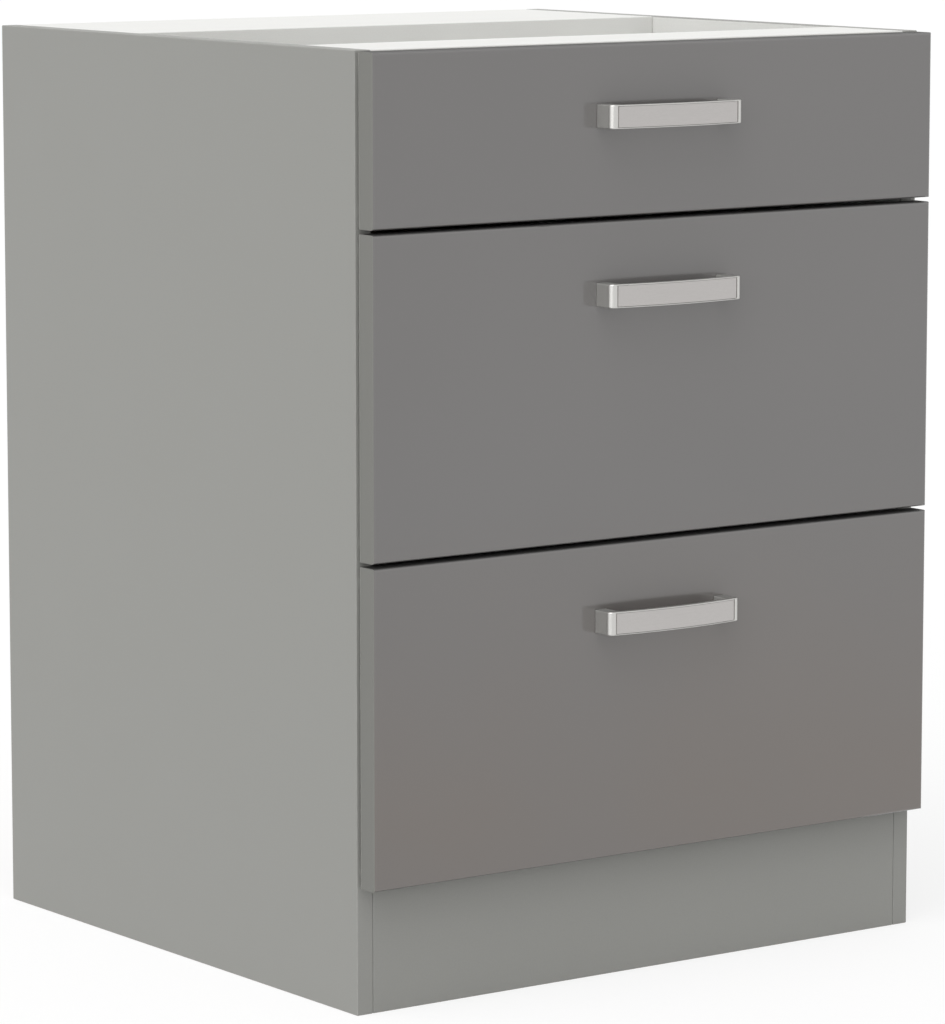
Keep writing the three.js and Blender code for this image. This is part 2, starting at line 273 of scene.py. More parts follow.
# %% Pattern helpers
def noise(tree, place, size, detail=2.0, roughness=0.5):
    """Cloudy values from about 0.25 to 0.75, with spots about size metres across."""
    node = tree.nodes.new("ShaderNodeTexNoise")
    node.inputs["Scale"].default_value = 1.0 / size
    node.inputs["Detail"].default_value = detail
    node.inputs["Roughness"].default_value = roughness
    tree.links.new(place, node.inputs["Vector"])
    return node.outputs["Fac"]


def stretched(tree, place, scale):
    """The same coordinates with each axis scaled, which makes a pattern long in one direction."""
    node = tree.nodes.new("ShaderNodeMapping")
    node.inputs["Scale"].default_value = scale
    tree.links.new(place, node.inputs["Vector"])
    return node.outputs["Vector"]


def along_axis(tree, place, axis):
    """One of the three coordinates."""
    parts = tree.nodes.new("ShaderNodeSeparateXYZ")
    tree.links.new(place, parts.inputs[0])
    return parts.outputs[AXES.index(axis)]


def past_plane(tree, place, axis, limit, side):
    """1 where a coordinate is past limit, on the side given as +1 or -1, and 0 elsewhere."""
    operation = "GREATER_THAN" if side > 0 else "LESS_THAN"
    return calculate(tree, operation, along_axis(tree, place, axis), limit)


def new_group(name, inputs, outputs):
    """An empty node group with its entry and its exit. Sockets are given as {name: kind}."""
    group = bpy.data.node_groups.new(name, "ShaderNodeTree")
    for direction, sockets in (("INPUT", inputs), ("OUTPUT", outputs)):
        for socket, kind in sockets.items():
            group.interface.new_socket(socket, in_out=direction, socket_type=f"NodeSocket{kind}")
    return group, group.nodes.new("NodeGroupInput"), group.nodes.new("NodeGroupOutput")


def use_group(tree, group, place, values=None):
    """Places a group in a material, with the piece's coordinates and its own values."""
    node = tree.nodes.new("ShaderNodeGroup")
    node.node_tree = group
    tree.links.new(place, node.inputs["Place"])
    for name, value in (values or {}).items():
        feed(tree, node.inputs[name], value)
    return node


def new_finish(name):
    """A material, its node tree, its shader and the piece's own coordinates."""
    material = bpy.data.materials.new(name)
    material.use_nodes = True
    tree = material.node_tree
    place = tree.nodes.new("ShaderNodeTexCoord").outputs["Object"]
    return material, tree, tree.nodes["Principled BSDF"], place


def give(group, leave, **values):
    """Links values to the exit of a group, each under the name of its socket."""
    for name, value in values.items():
        group.links.new(value, leave.inputs[name])


def show(tree, shader, colour, rough, height, depth):
    """Feeds the shader a colour, a roughness and a relief that is depth metres deep."""
    tree.links.new(colour, shader.inputs["Base Color"])
    tree.links.new(rough, shader.inputs["Roughness"])
    bump = tree.nodes.new("ShaderNodeBump")
    bump.inputs["Strength"].default_value = 0.5
    bump.inputs["Distance"].default_value = depth
    tree.links.new(height, bump.inputs["Height"])
    tree.links.new(bump.outputs["Normal"], shader.inputs["Normal"])


def dress(node, material):
    """Shows a CAD part in a material."""
    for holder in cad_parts[node].material_slots:
        holder.material = material


print("pattern helpers ready")

# %% [markdown]
# ## Melamine
#
# Carcass boards are chipboard under a printed, resin-soaked paper. The face is matt with a very
# fine pearl that only shows where light grazes it, and its colour drifts by a percent or so.
# Plain noise at two sizes does that: a large one for the drift and a tiny one for the pearl.

# %% Melamine pattern
DRIFT_SIZE = 0.09
DRIFT = 0.015
PEARL_SIZE = 0.0012
PEARL = 0.02
PEARL_SPAN = (0.25, 0.75)
PAPER_GRAIN = 0.0016
PAPER_ROUGHNESS = (0.46, 0.60)


def make_melamine():
    """Colour, roughness and relief of a resin-paper face."""
    group, entry, leave = new_group(
        "melamine_face",
        {"Place": "Vector", "Colour": "Color"},
        {"Colour": "Color", "Roughness": "Float", "Height": "Float"},
    )
    place = entry.outputs["Place"]
    drift = noise(group, place, DRIFT_SIZE, detail=3.0)
    pearl = spread(group, noise(group, place, PEARL_SIZE, detail=1.0), 1.0 - PEARL, 1.0 + PEARL,
                   *PEARL_SPAN)
    share = calculate(group, "MULTIPLY", vary(group, drift, 1.0 - DRIFT, 1.0 + DRIFT), pearl)
    give(group, leave, Colour=dim_colour(group, entry.outputs["Colour"], share),
         Roughness=vary(group, drift, *PAPER_ROUGHNESS), Height=noise(group, place, PAPER_GRAIN))
    return group


MELAMINE = make_melamine()
print("group:", MELAMINE.name)

# %% [markdown]
# ## Raw chipboard
#
# The edges that no one sees in use, at the back and under the sides, have no band, so the chips
# show: flat splinters a few millimetres long and under a millimetre thick, lying along the
# board. A cell pattern squeezed in the direction of the thickness gives them, one tone per cell.

# %% Chip pattern
CHIP_LENGTH = 0.0045
CHIP_THICKNESS = 0.0009
CHIP_LIGHT = srgb(205, 178, 138)
CHIP_DARK = srgb(140, 108, 72)
CHIP_GAP = srgb(92, 70, 46)
CHIP_TONES = (0.1, 0.9)
GAP_FROM = 0.55


def make_chips():
    """Colour and relief of bare chipboard, on coordinates that count chips."""
    group, entry, leave = new_group(
        "bare_chips", {"Place": "Vector"}, {"Colour": "Color", "Height": "Float"})
    cells = group.nodes.new("ShaderNodeTexVoronoi")
    cells.inputs["Scale"].default_value = 1.0
    group.links.new(entry.outputs["Place"], cells.inputs["Vector"])
    tone = group.nodes.new("ShaderNodeSeparateColor")
    group.links.new(cells.outputs["Color"], tone.inputs[0])
    chips = blend_colours(group, spread(group, tone.outputs[0], 0.0, 1.0, *CHIP_TONES),
                          CHIP_DARK, CHIP_LIGHT)
    gaps = spread(group, cells.outputs["Distance"], 0.0, GAP_FROM, GAP_FROM, 1.0)
    give(group, leave, Colour=blend_colours(group, gaps, chips, CHIP_GAP),
         Height=spread(group, cells.outputs["Distance"], 1.0, 0.0))
    return group


CHIPS = make_chips()
print("group:", CHIPS.name)

# %% [markdown]
# ## Edge lines
#
# The banded edges of a board are painted a shade lighter: a painted highlight along them, and
# wear where the band was trimmed and where hands rub.
# Every board has a place and a size, so the distance to its nearest edge comes from the
# coordinates alone: of the three distances to its pairs of faces, the smallest belongs to the
# face that the point lies on, and the middle one is the distance to the nearest edge. Noise
# makes the line ragged, as real wear is.

# %% Edge pattern
WEAR_SIZE = 0.012
WEAR_LEAST = 0.35
WEAR_SPAN = (0.35, 0.65)


def make_edge_line():
    """1 on a box's edges, falling to 0 within Width of them."""
    group, entry, leave = new_group(
        "edge_line",
        {"Place": "Vector", "Centre": "Vector", "Half size": "Vector", "Width": "Float"},
        {"Mask": "Float"},
    )

    def vector_step(operation, *values):
        node = group.nodes.new("ShaderNodeVectorMath")
        node.operation = operation
        for index, value in enumerate(values):
            group.links.new(value, node.inputs[index])
        return node.outputs[0]

    away = vector_step("SUBTRACT", entry.outputs["Place"], entry.outputs["Centre"])
    inside = vector_step("SUBTRACT", entry.outputs["Half size"], vector_step("ABSOLUTE", away))
    x, y, z = (along_axis(group, inside, axis) for axis in AXES)
    least = calculate(group, "MINIMUM", x, y, z)
    most = calculate(group, "MAXIMUM", x, y, z)
    total = calculate(group, "ADD", x, y, z)
    middle = calculate(group, "SUBTRACT", total, least, most)
    wear = noise(group, entry.outputs["Place"], WEAR_SIZE, detail=4.0)
    reach = calculate(group, "MULTIPLY", entry.outputs["Width"],
                      spread(group, wear, WEAR_LEAST, 1.0, *WEAR_SPAN))
    share = calculate(group, "SUBTRACT", 1.0, calculate(group, "DIVIDE", middle, reach))
    give(group, leave, Mask=spread(group, share, 0.0, 1.0))
    return group


EDGE_LINE = make_edge_line()
print("group:", EDGE_LINE.name)

# %% [markdown]
# ## Boards
#
# The outer faces of the two side panels and the plinth are grey, and everything inside the
# cabinet is white, as the rails in the picture are. A side panel therefore changes colour at a
# plane just under its inner face, and its front edge keeps a band of grey two millimetres thick.
# The same trick puts bare chips on the faces without a band, and a plastic band on the edges of
# the white boards. That band is painted a shade greyer than the paper, and the inner faces of the
# side panels a shade darker than the rails: both are painted shade.

# %% Board finish
GREY = srgb(148, 148, 144)
WHITE_BOARD = srgb(236, 236, 233)
# The band's grey and the darker inner white below are painted shade.
PAINTED_SHADE_BAND = srgb(225, 225, 222)
PAINTED_SHADE_INNER_WHITE = srgb(225, 225, 222)
EDGE_WIDTH = 0.0012
EDGE_HIGHLIGHT_AND_WEAR = 0.06
BAND = 0.002
SKIN = 0.0001
RAW_ROUGHNESS = 0.85
RAW_RELIEF = 6.0
BOARD_RELIEF = 0.00003


def board_material(node, colour, inner=None, raw=()):
    """The finish of one board.

    inner is (axis, side) of the face that is white on a grey board. raw lists the faces that
    show bare chips, each as (axis, side).
    """
    low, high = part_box(node)
    material, tree, shader, place = new_finish(f"{node}_board")

    def on_face(axis, side):
        limit = (high if side > 0 else low)[AXES.index(axis)] - side * SKIN
        return past_plane(tree, place, axis, limit, side)

    size = high - low
    if inner:
        behind_band = past_plane(tree, place, "Y", low.y + BAND, 1)
        white = calculate(tree, "MULTIPLY", on_face(*inner), behind_band)
        # Painted shade: the inner white is a shade darker than the rails' white.
        colour = blend_colours(tree, white, colour, PAINTED_SHADE_INNER_WHITE)
    elif colour is WHITE_BOARD:
        thin = AXES[list(size).index(min(size))]
        paper = calculate(tree, "MAXIMUM", on_face(thin, 1), on_face(thin, -1))
        # Painted shade: the edges of the white boards are a shade greyer than their faces.
        colour = blend_colours(tree, paper, PAINTED_SHADE_BAND, WHITE_BOARD)
    face = use_group(tree, MELAMINE, place, {"Colour": colour})
    edge = use_group(tree, EDGE_LINE, place, {
        "Centre": (low + high) / 2, "Half size": size / 2, "Width": EDGE_WIDTH})
    # Painted highlight and wear: the edge line is mixed a little towards white.
    lighter = calculate(tree, "MULTIPLY", edge.outputs["Mask"], EDGE_HIGHLIGHT_AND_WEAR)
    shown = blend_colours(tree, lighter, face.outputs["Colour"], WHITE)
    rough, height = face.outputs["Roughness"], face.outputs["Height"]
    if raw:
        squeeze = [1.0 / (CHIP_THICKNESS if length == min(size) else CHIP_LENGTH)
                   for length in size]
        chips = use_group(tree, CHIPS, stretched(tree, place, squeeze))
        bare = calculate(tree, "MAXIMUM", *(on_face(axis, side) for axis, side in raw))
        shown = blend_colours(tree, bare, shown, chips.outputs["Colour"])
        rough = calculate(tree, "MAXIMUM", rough,
                          calculate(tree, "MULTIPLY", bare, RAW_ROUGHNESS))
        relief = calculate(tree, "MULTIPLY", bare, RAW_RELIEF, chips.outputs["Height"])
        height = calculate(tree, "ADD", height, relief)
    show(tree, shader, shown, rough, height, BOARD_RELIEF)
    return material


BACK, BELOW = ("Y", 1), ("Z", -1)
BOARDS = {
    "left_side_panel": (GREY, ("X", 1), (BACK, BELOW)),
    "right_side_panel": (GREY, ("X", -1), (BACK, BELOW)),
    "plinth_board": (GREY, None, (BELOW, ("Z", 1))),
    "bottom_panel": (WHITE_BOARD, None, (BACK,)),
    "front_top_rail": (WHITE_BOARD, None, ()),
    "rear_top_rail": (WHITE_BOARD, None, (BACK,)),
}
for drawer in DRAWERS:
    for board in ("box_left_side", "box_right_side", "box_back"):
        BOARDS[f"{drawer}_{board}"] = (WHITE_BOARD, None, (BELOW,))
for name, finish in BOARDS.items():
    dress(name, board_material(name, *finish))
print(len(BOARDS), "boards dressed")

# %% [markdown]
# ## Hardboard
#
# The back and the drawer bottoms are thin hardboard, lacquered white on the side that shows and
# left brown behind. Brown hardboard is felted fibre: short dark hairs in every direction over a
# warm brown. Two noises that are stretched in different directions make hairs where they cross.
# The back is fixed with flat nails, punched level with the board. They have no height, so they
# are drawn into the finish, as discs at even steps along the edge.

# %% Hardboard finish
HARDBOARD_BROWN = srgb(156, 118, 80)
HARDBOARD_DARK = srgb(112, 80, 50)
NAIL_COLOUR = srgb(176, 178, 180)
NAIL_RADIUS = 0.0022
NAIL_FROM_EDGE = 0.008
NAIL_STEP = 0.085
NAIL_SHINE = 0.4
FIBRE_WIDTH = 0.0014
FIBRE_STRETCH = 0.2
CLOUD_SIZE = 0.05
LACQUER_ROUGHNESS = 0.45
FIBRE_ROUGHNESS = 0.75
FIBRE_RELIEF = 0.00006


def repeated_distance(tree, value, step):
    """The distance to the nearest whole multiple of step."""
    shifted = calculate(tree, "ADD", value, step / 2)
    wrapped = calculate(tree, "FLOORED_MODULO", shifted, step)
    return calculate(tree, "ABSOLUTE", calculate(tree, "SUBTRACT", wrapped, step / 2), 0.0)


def nail_mask(tree, place, low, high):
    """1 on the nail heads along the four edges of a panel that faces Y."""
    across, up = along_axis(tree, place, "X"), along_axis(tree, place, "Z")
    mask = 0.0
    for run, cross, first, last in ((up, across, low.x, high.x), (across, up, low.z, high.z)):
        off_centre = calculate(tree, "SUBTRACT", cross, (first + last) / 2)
        off_line = calculate(tree, "SUBTRACT", calculate(tree, "ABSOLUTE", off_centre, 0.0),
                             (last - first) / 2 - NAIL_FROM_EDGE)
        off_step = repeated_distance(tree, run, NAIL_STEP)
        squares = calculate(tree, "ADD", calculate(tree, "MULTIPLY", off_line, off_line),
                            calculate(tree, "MULTIPLY", off_step, off_step))
        head = calculate(tree, "LESS_THAN", squares, NAIL_RADIUS ** 2)
        mask = calculate(tree, "MAXIMUM", head, mask)
    return mask


def hardboard_material(node, axis, side, nailed=False):
    """White on one face and bare fibre on the other, which is the one towards side."""
    low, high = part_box(node)
    middle = (low + high)[AXES.index(axis)] / 2
    material, tree, shader, place = new_finish(f"{node}_hardboard")
    face = use_group(tree, MELAMINE, place, {"Colour": WHITE_BOARD})
    long = FIBRE_STRETCH
    fibres = [noise(tree, stretched(tree, place, scale), FIBRE_WIDTH, 3.0)
              for scale in ((1, 1, long), (long, long, 1))]
    crossed = calculate(tree, "MULTIPLY", *fibres)
    clouds = spread(tree, noise(tree, place, CLOUD_SIZE, 4.0), 0.0, 0.35, 0.35, 0.7)
    share = calculate(tree, "ADD", spread(tree, crossed, 0.0, 0.8, 0.15, 0.38), clouds)
    brown = blend_colours(tree, share, HARDBOARD_DARK, HARDBOARD_BROWN)
    behind = past_plane(tree, place, axis, middle, side)
    shown = blend_colours(tree, behind, face.outputs["Colour"], brown)
    rough = spread(tree, behind, LACQUER_ROUGHNESS, FIBRE_ROUGHNESS)
    if nailed:
        nails = calculate(tree, "MULTIPLY", nail_mask(tree, place, low, high), behind)
        shown = blend_colours(tree, nails, shown, NAIL_COLOUR)
        rough = calculate(tree, "SUBTRACT", rough, calculate(tree, "MULTIPLY", nails, NAIL_SHINE))
        tree.links.new(nails, shader.inputs["Metallic"])
    show(tree, shader, shown, rough, crossed, FIBRE_RELIEF)
    return material


dress("back_panel", hardboard_material("back_panel", "Y", 1, nailed=True))
for drawer in DRAWERS:
    dress(f"{drawer}_box_bottom", hardboard_material(f"{drawer}_box_bottom", "Z", -1))
print("hardboard dressed")

# %% [markdown]
# ## High-gloss fronts
#
# The fronts are fibreboard under a warm grey gloss film. Gloss is a clear layer over a coloured
# one, so the shader's coat does it. What makes film look like film and not like glass is a faint
# unevenness: waves some millimetres wide in the surface, and places that are a little duller.
# The film loses its gloss where it turns over the edges. The top and the bottom edges are
# painted darker, as painted shade, and the two sides have a matt grey band whose lighter tone is
# painted light from the left. Low down, the picture shows a slightly browner tone, so a soft
# gradient warms the colour there: a painted warm reflection.

# %% Film pattern
GLOSS_GREY = srgb(108, 106, 105)
# Painted reflection: a warmer colour low on the fronts.
PAINTED_WARM_REFLECTION = srgb(108, 101, 96)
WARM_REFLECTION_TOP = 0.42
WARM_REFLECTION_FOOT = 0.16
TONE_SIZE = 0.25
TONE_DRIFT = 0.02
DULL_SIZE = 0.11
FILM_ROUGHNESS = (0.16, 0.24)
WAVE_SIZE = 0.006


def make_film():
    """Colour, roughness and relief of a gloss film, with a painted warm reflection low down."""
    group, entry, leave = new_group(
        "gloss_film",
        {"Place": "Vector", "Colour": "Color", "Reflection colour": "Color"},
        {"Colour": "Color", "Roughness": "Float", "Height": "Float"},
    )
    place = entry.outputs["Place"]
    clouds = noise(group, place, TONE_SIZE)
    # Painted reflection: the colour warms towards the foot of the front.
    low = spread(group, along_axis(group, place, "Z"), 0.0, 1.0, WARM_REFLECTION_TOP, WARM_REFLECTION_FOOT)
    warm = calculate(group, "MULTIPLY", low, spread(group, clouds, 0.5, 1.0, 0.3, 0.6))
    colour = blend_colours(group, warm, entry.outputs["Colour"], entry.outputs["Reflection colour"])
    share = vary(group, clouds, 1.0 - TONE_DRIFT, 1.0 + TONE_DRIFT)
    dull = vary(group, noise(group, place, DULL_SIZE, detail=3.0), *FILM_ROUGHNESS)
    give(group, leave, Colour=dim_colour(group, colour, share), Roughness=dull,
         Height=noise(group, place, WAVE_SIZE, detail=1.0))
    return group


FILM = make_film()
print("group:", FILM.name)

# %% Front finish
SIDE_BAND_PAINTED_LIGHTER = srgb(126, 126, 122)
SIDE_BAND_WIDTH = 0.001
# Painted shade on the top and bottom edges of the fronts.
PAINTED_CAP_SHADE = srgb(80, 79, 78)
CAP_SHADE_WIDTH = 0.0009
FRONT_BACK = srgb(225, 225, 221)
GLOSS_DEPTH = 0.0025
GLOSS_FADE = 0.002
BACK_SHINE = 0.5
COAT_ROUGHNESS = 0.08
WAVE_RELIEF = 0.00001


def front_material(node):
    """Gloss film on the face, dull on the edges, with painted shade on the top and bottom edges, a
    matt side band painted lighter, and a white back.
    """
    low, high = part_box(node)
    material, tree, shader, place = new_finish(f"{node}_film")
    film = use_group(tree, FILM, place, {"Colour": GLOSS_GREY, "Reflection colour": PAINTED_WARM_REFLECTION})
    # Painted shade: the top and bottom edges are darkened.
    cap_shade = calculate(tree, "MAXIMUM", past_plane(tree, place, "Z", low.z + CAP_SHADE_WIDTH, -1),
                    past_plane(tree, place, "Z", high.z - CAP_SHADE_WIDTH, 1))
    # The side band is matt, and its lighter grey is painted light from the left.
    band = calculate(tree, "MAXIMUM", past_plane(tree, place, "X", low.x + SIDE_BAND_WIDTH, -1),
                     past_plane(tree, place, "X", high.x - SIDE_BAND_WIDTH, 1))
    behind = past_plane(tree, place, "Y", high.y - SKIN, 1)
    outer = blend_colours(tree, cap_shade, film.outputs["Colour"], PAINTED_CAP_SHADE)
    outer = blend_colours(tree, band, outer, SIDE_BAND_PAINTED_LIGHTER)
    shown = blend_colours(tree, behind, outer, FRONT_BACK)
    depth = along_axis(tree, place, "Y")
    edge = spread(tree, depth, 0.0, 1.0, low.y + GLOSS_DEPTH - GLOSS_FADE, low.y + GLOSS_DEPTH)
    matt = calculate(tree, "MAXIMUM", edge, band)
    rough = calculate(tree, "MAXIMUM", film.outputs["Roughness"], matt)
    rough = calculate(tree, "SUBTRACT", rough, calculate(tree, "MULTIPLY", behind, BACK_SHINE))
    tree.links.new(spread(tree, matt, 1.0, 0.0), shader.inputs["Coat Weight"])
    shader.inputs["Coat Roughness"].default_value = COAT_ROUGHNESS
    show(tree, shader, shown, rough, film.outputs["Height"], WAVE_RELIEF)
    return material


for drawer in DRAWERS:
    dress(f"{drawer}_drawer_front", front_material(f"{drawer}_drawer_front"))
print("fronts dressed")

# %% [markdown]
# ## Metals
#
# Brushing leaves fine parallel lines. From a step away they are a soft streakiness, and they
# widen every highlight across them. Noise that is stretched a few hundred times in one direction
# draws them. The runners are rolled steel with a zinc coat, so theirs are fainter, over larger
# cloudy patches where the coat is duller. A bow handle is polished on its outer face only, and
# its legs stay as dull as they were cast, so that metal gets rougher from front to back. On the
# dull legs, the faces that look up and down are painted darker, as painted shade.

# %% Metal finishes
LINE_WIDTH = 0.00025
LINE_LENGTH = 0.06
LEG_ROUGHNESS = 0.6
# Painted shade on the legs' faces that look up and down.
LEG_PAINTED_SHADE = 0.42
LEG_SHADE_FACING = (0.6, 0.95)
PATCH_SIZE = 6.0
SMOOTHER = 0.05
ROUGHER = 0.07
POLISH_DEPTH = 0.007
POLISH_FADE = 0.004


def make_brushing():
    """Fine lines and larger patches, on coordinates that are already stretched."""
    group, entry, leave = new_group(
        "brushing", {"Place": "Vector"}, {"Lines": "Float", "Patches": "Float"})
    place = entry.outputs["Place"]
    give(group, leave, Lines=noise(group, place, 1.0, detail=3.0, roughness=0.7),
         Patches=noise(group, place, PATCH_SIZE))
    return group


BRUSHING = make_brushing()


def metal_material(name, colour, along, roughness, contrast, depth=0.00001, dull_from=None):
    """A brushed, rolled or cast metal. along is the axis of its lines.

    dull_from is the Y behind which it is as rough as a casting, and where the faces that look up
    and down get painted shade.
    """
    material, tree, shader, place = new_finish(name)
    scale = [1.0 / (LINE_LENGTH if axis == along else LINE_WIDTH) for axis in AXES]
    brushed = use_group(tree, BRUSHING, stretched(tree, place, scale))
    tone = vary(tree, brushed.outputs["Lines"], 1.0 - contrast, 1.0 + contrast)
    shader.inputs["Metallic"].default_value = 1.0
    rough = vary(tree, brushed.outputs["Patches"], roughness - SMOOTHER, roughness + ROUGHER)
    if dull_from is not None:
        dull = spread(tree, along_axis(tree, place, "Y"), 0.0, LEG_ROUGHNESS,
                      dull_from, dull_from + POLISH_FADE)
        rough = calculate(tree, "MAXIMUM", rough, dull)
        # Painted shade: faces that look up and down on the dull legs are darkened.
        normal = tree.nodes.new("ShaderNodeTexCoord").outputs["Normal"]
        upright = calculate(tree, "ABSOLUTE", along_axis(tree, normal, "Z"), 0.0)
        leg_shade = calculate(tree, "MULTIPLY", spread(tree, upright, 0.0, LEG_PAINTED_SHADE, *LEG_SHADE_FACING),
                         calculate(tree, "DIVIDE", dull, LEG_ROUGHNESS))
        tone = calculate(tree, "MULTIPLY", tone, calculate(tree, "SUBTRACT", 1.0, leg_shade))
    show(tree, shader, dim_colour(tree, colour, tone), rough, brushed.outputs["Lines"], depth)
    return material


BOW_METAL = metal_material("bow_metal", srgb(204, 203, 200), "X", 0.32, 0.02, 0.000004,
                           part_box("lower_handle")[0].y + POLISH_DEPTH)
INLAY_METAL = metal_material("inlay_metal", srgb(187, 184, 182), "X", 0.34, 0.05)
RUNNER_STEEL = metal_material("runner_steel", srgb(186, 190, 194), "Y", 0.34, 0.06)
CAGE_STEEL = metal_material("cage_steel", srgb(158, 158, 154), "Y", 0.30, 0.06)
SCREW_STEEL = metal_material("screw_steel", srgb(196, 196, 190), "Y", 0.30, 0.04)
BALL_STEEL = metal_material("ball_steel", srgb(214, 216, 218), "Z", 0.12, 0.02)
CAST_ZINC = metal_material("cast_zinc_finish", srgb(150, 152, 154), "Z", 0.48, 0.12, 0.00003)

for side in SIDES:
    for joint in ("front_rail", "rear_rail", "bottom_front", "bottom_rear"):
        dress(f"{joint}_{side}_cam", CAST_ZINC)
for drawer, side in RUNNERS:
    dress(f"{drawer}_{side}_handle_screw", SCREW_STEEL)
    for member in ("cabinet", "link", "drawer"):
        dress(f"{drawer}_{side}_{member}_channel", RUNNER_STEEL)
print("metal parts dressed")

# %% [markdown]
# ## Plastic and rubber
#
# Small fittings are moulded, and a mould leaves a fine pitted grain and a soft sheen. One
# function makes all of them, with noise for the grain and a second one for the faint cloudiness
# of the colour.

# %% Plastic finishes
MOULD_GRAIN = 0.0006
MOULD_RELIEF = 0.00002
MOULD_ROUGHER = 0.08
TINT_SIZE = 0.01
TINT = 0.12


def plastic_material(name, colour, roughness):
    """Moulded plastic or rubber."""
    material, tree, shader, place = new_finish(name)
    grain = noise(tree, place, MOULD_GRAIN)
    clouds = vary(tree, noise(tree, place, TINT_SIZE), 0.0, TINT)
    rough = spread(tree, grain, roughness - SMOOTHER, roughness + MOULD_ROUGHER)
    show(tree, shader, blend_colours(tree, clouds, colour, WHITE), rough, grain, MOULD_RELIEF)
    return material


BLACK_PLASTIC = plastic_material("black_plastic", srgb(30, 31, 33), 0.45)
WHITE_PLASTIC = plastic_material("white_plastic", srgb(224, 224, 220), 0.40)
PALE_RUBBER = plastic_material("pale_rubber", srgb(206, 208, 204), 0.25)
print("plastics ready")

# %% [markdown]
# ## Helpers for pieces
#
# Every new piece ends in the same way. Its doubles are merged, its faces are turned outwards,
# and it is shaded smooth with its real creases kept sharp. A crease is an edge with a clear
# angle, or one where a large flat face meets a narrow rounded strip: without that second rule
# the rounding would spill its shading over the flat face. The piece then rides on the body that
# carries it.

# %% Piece helpers
CREASE = math.radians(32)
SLIGHT = math.radians(4)
FLAT_SHARE = 4.0
MERGE = 1e-6
SMALL_CUTS = 2


def finish_piece(name, bm, material, body):
    """Turns a bmesh into a finished piece that rides on a body."""
    bmesh.ops.remove_doubles(bm, verts=bm.verts[:], dist=MERGE)
    bmesh.ops.recalc_face_normals(bm, faces=bm.faces[:])
    for face in bm.faces:
        face.smooth = True
    for edge in bm.edges:
        angle = edge.calc_face_angle(0.0)
        areas = [face.calc_area() for face in edge.link_faces]
        beside_flat = angle > SLIGHT and max(areas) > FLAT_SHARE * min(areas)
        edge.smooth = not (angle > CREASE or beside_flat)
    piece = new_object(name, bm, material)
    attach(piece, body)
    return piece


def pull_out(bm, face, step):
    """Extrudes one face by a vector and gives back the face at its end.

    The face's edges go in with it. From them the operator sees whether the face closes a shape,
    which it then opens, or lies alone, where it stays as the far end.
    """
    made = bmesh.ops.extrude_face_region(bm, geom=[face] + face.edges[:])["geom"]
    bmesh.ops.translate(bm, vec=step, verts=[v for v in made if isinstance(v, bmesh.types.BMVert)])
    return next(item for item in made if isinstance(item, bmesh.types.BMFace))


def round_edges(bm, edges, offset, segments):
    """Bevels edges with a round profile."""
    bmesh.ops.bevel(bm, geom=list(edges), offset=offset, segments=segments, profile=0.5,
                    affect="EDGES", material=-1, clamp_overlap=True)


def spin_outline(bm, points, centre, axis, steps):
    """Spins a row of points right round an axis into a turned shape."""
    lines = [bm.edges.new(pair) for pair in zip(points, points[1:])]
    bmesh.ops.spin(bm, geom=points + lines, cent=centre, axis=axis, steps=steps,
                   angle=2 * math.pi, use_merge=True)


def outline_prism(bm, corners, step):
    """A prism on an outline of corner points."""
    pull_out(bm, bm.faces.new([bm.verts.new(corner) for corner in corners]), step)


def rounded_prism(corners, step, radius):
    """A prism with all of its edges rounded."""
    bm = bmesh.new()
    outline_prism(bm, corners, step)
    round_edges(bm, bm.edges[:], radius, SMALL_CUTS)
    return bm


print("piece helpers ready")

# %% [markdown]
# ## Bow handles
#
# Each handle is a flat strap that is bowed outwards by a few millimetres and turns back to the
# front at both ends, with a thin brushed plate let into its face. It starts as one small
# rectangle at the left end, which is extruded along the length in short steps, so that the strap
# follows a circle. The legs are pulled out of the strap's inner side. Then come the roundings:
# large on the outer corners, where a satin handle catches the light in a bright line, medium
# inside the bends, and small along all the rims. Last, an inset sinks a shallow pocket.

# %% Handle sizes
STRAP_THICKNESS = 0.005
BOW_DEPTH = 0.006
LEG_WIDTH = 0.012
CORNER_ROUND = 0.0042
BEND_ROUND = 0.003
RIM_ROUND = 0.0009
STRAP_STEPS = 24
CORNER_CUTS = 7
BEND_CUTS = 4
RIM_CUTS = 3
POCKET_FROM_END = 0.0056
POCKET_RIM = 0.0003
POCKET_DEPTH = 0.0009
INLAY_END_GAP = 0.0010
INLAY_SIDE_GAP = 0.0001
INLAY_THICKNESS = 0.0008
FLAT = 0.9


def bow_at(x, low, half):
    """The Y of the bowed face at x: a circle through the ends and the middle."""
    radius = (half ** 2 + BOW_DEPTH ** 2) / (2 * BOW_DEPTH)
    return low.y + radius - math.sqrt(radius ** 2 - x ** 2)


def bowed_bar(bm, stations, low, half, front, thickness, z_low, z_high):
    """A bar along the bow, through the stations in x, front metres behind the bowed face."""
    start = Vector((stations[0], bow_at(stations[0], low, half) + front, 0.0))
    corners = [start + Vector((0.0, y, z))
               for y, z in ((0.0, z_low), (thickness, z_low), (thickness, z_high), (0.0, z_high))]
    face = bm.faces.new([bm.verts.new(corner) for corner in corners])
    for x, following in zip(stations, stations[1:]):
        rise = bow_at(following, low, half) - bow_at(x, low, half)
        face = pull_out(bm, face, Vector((following - x, rise, 0.0)))
    bmesh.ops.recalc_face_normals(bm, faces=bm.faces[:])


def even_steps(first, last, count):
    """count + 1 values from first to last."""
    return [first + (last - first) * index / count for index in range(count + 1)]


print(f"strap {STRAP_THICKNESS * 1000:.0f} mm thick, bowed {BOW_DEPTH * 1000:.0f} mm")

# %% Handle shape
def upright_edges(bm, test):
    """The edges that run along Z and whose middle passes a test."""
    chosen = []
    for edge in bm.edges:
        first, second = (vert.co for vert in edge.verts)
        middle = (first + second) / 2
        if (first - second).xy.length < MERGE and test(middle):
            chosen.append(edge)
    return chosen


